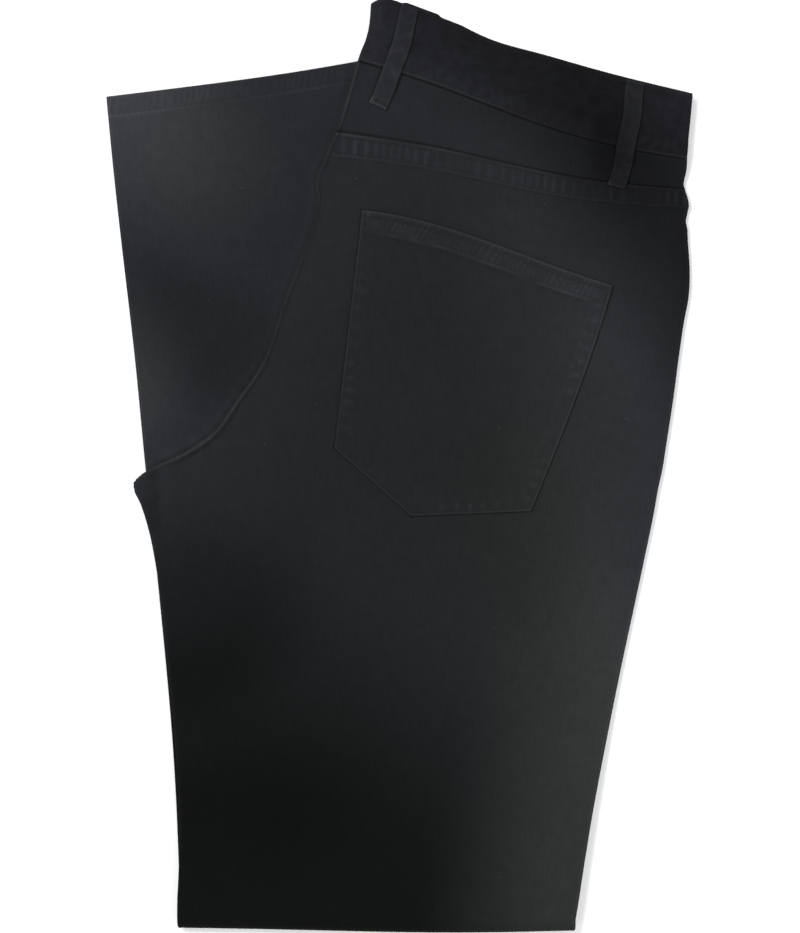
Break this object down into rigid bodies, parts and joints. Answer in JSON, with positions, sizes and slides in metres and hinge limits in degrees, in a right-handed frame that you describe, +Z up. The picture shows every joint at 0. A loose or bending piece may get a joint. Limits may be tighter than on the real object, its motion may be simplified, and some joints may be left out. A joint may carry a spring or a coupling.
{
  "type": "folded tapered jeans",
  "caption": "Plain black tapered jeans folded in half and then folded under at the knee, lying flat with a back pocket, yoke, waistband and belt loops up.",
  "frame": {"origin": "middle of the folded garment's footprint, on the surface it lies on", "axes": "+Y towards the waist, +X towards the side seams, +Z up from the surface"},
  "size_m": [0.3598, 0.5712, 0.0229],
  "materials": {
    "denim": "matt near-black stretch twill with faint streaks along the legs",
    "band_denim": "matt near-black twill, cut across the grain and a little darker"
  },
  "bodies": {
    "root": {"right_back_panel": "denim", "left_back_panel": "denim", "right_yoke": "denim", "left_yoke": "denim", "back_pocket": "denim", "hidden_fronts": "denim", "waistband": "band_denim", "belt_loop_centre": "band_denim", "belt_loop_side": "band_denim"}
  },
  "joints": []
}
